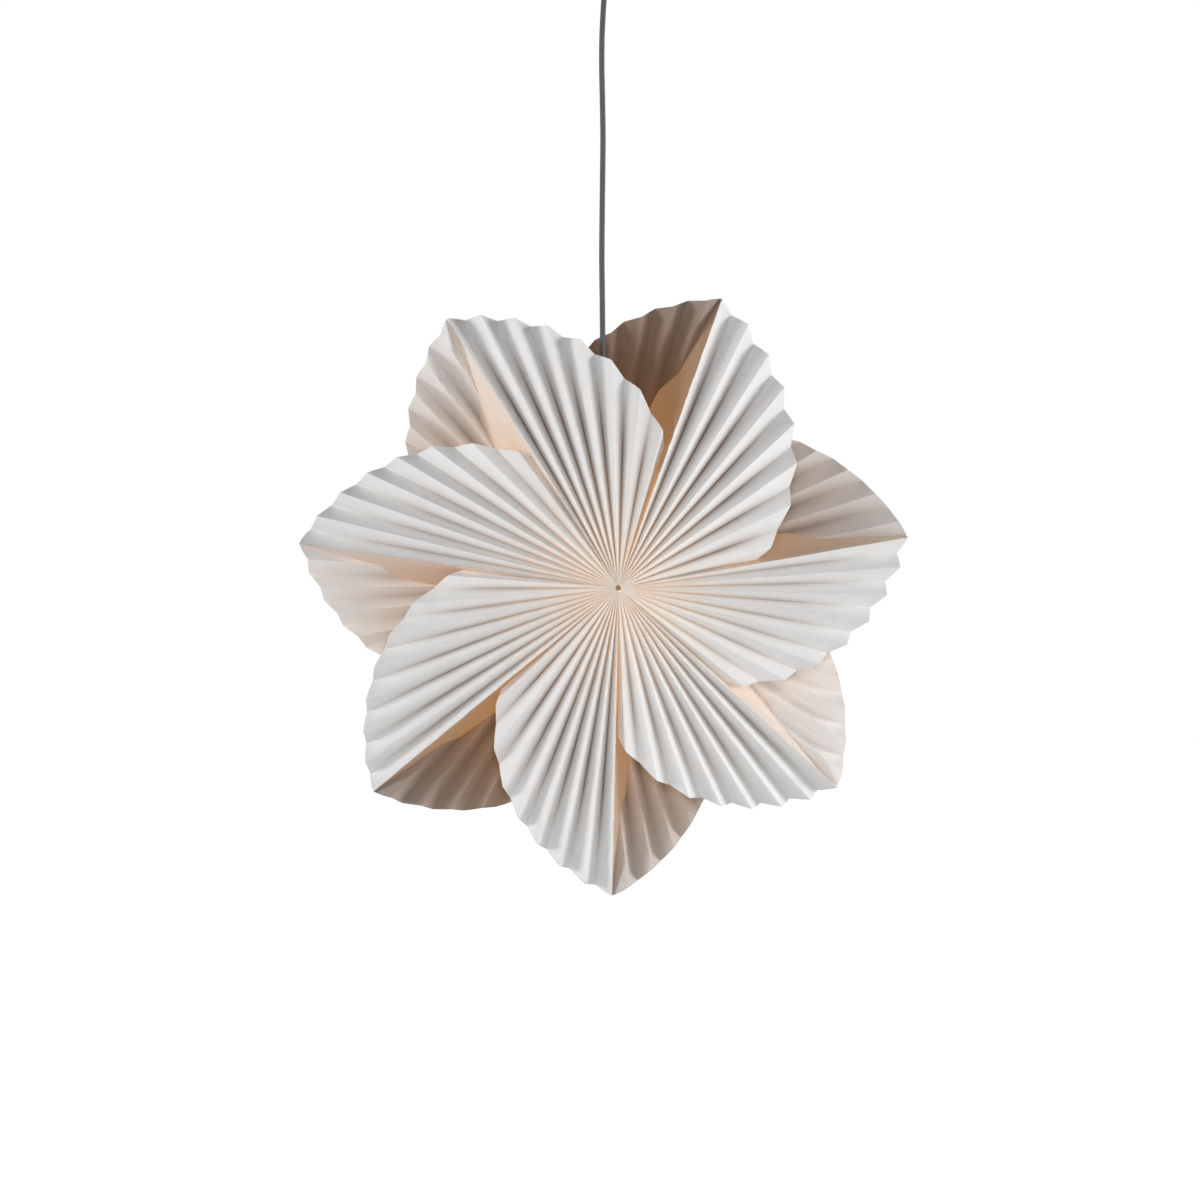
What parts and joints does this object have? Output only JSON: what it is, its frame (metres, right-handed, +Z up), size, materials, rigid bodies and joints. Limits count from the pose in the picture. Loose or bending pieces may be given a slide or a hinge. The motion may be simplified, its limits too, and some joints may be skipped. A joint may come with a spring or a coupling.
{
  "type": "pleated paper star pendant lamp",
  "caption": "Hanging star lamp of pleated paper: fans creased along pointed arms and gathered at a front and a back hub, round a bulb in a cord lampholder.",
  "frame": {"origin": "where the ceiling hook's shank enters the ceiling, on the lamp's vertical axis, in the plane of the ceiling cup's rim", "axes": "+Z up along the hook's shank; -Y is the star's front, along its depth; +X to the viewer's right"},
  "size_m": [0.6036, 0.174, 0.995],
  "materials": {
    "paper_front": "matt, uncoated, pleated",
    "paper_back": "matt, uncoated, pleated",
    "thread": "waxed cotton thread",
    "wire": "drawn, galvanised",
    "holder_plastic": "moulded, fine matt",
    "grip_plastic": "moulded, smooth",
    "ceramic": "phenolic block, matt",
    "brass": "pressed sheet",
    "screw_steel": "zinc plated",
    "bulb_glass": "frosted, opal white",
    "cord_cover": "dark grey lead, satin",
    "cup_plastic": "moulded, fine matt"
  },
  "bodies": {
    "root": {"front_fan_1": "paper_front", "front_fan_2": "paper_front", "front_fan_3": "paper_front", "front_fan_4": "paper_front", "front_fan_5": "paper_front", "front_fan_6": "paper_front", "front_fan_7": "paper_front", "back_fan_1": "paper_back", "back_fan_2": "paper_back", "back_fan_3": "paper_back", "back_fan_4": "paper_back", "back_fan_5": "paper_back", "back_fan_6": "paper_back", "back_fan_7": "paper_back", "front_hub_knot": "thread", "back_hub_knot": "thread", "hanger_wire": "wire", "holder_body": "holder_plastic", "holder_cap": "holder_plastic", "cord_grip": "grip_plastic", "contact_block": "ceramic", "thread_shell": "brass", "centre_contact": "brass", "terminal_screws": "screw_steel", "bulb": "bulb_glass", "cord": "cord_cover", "cup_collar": "grip_plastic", "ceiling_cup": "cup_plastic", "cord_hanger": "grip_plastic", "ceiling_hook": "wire"}
  },
  "joints": []
}
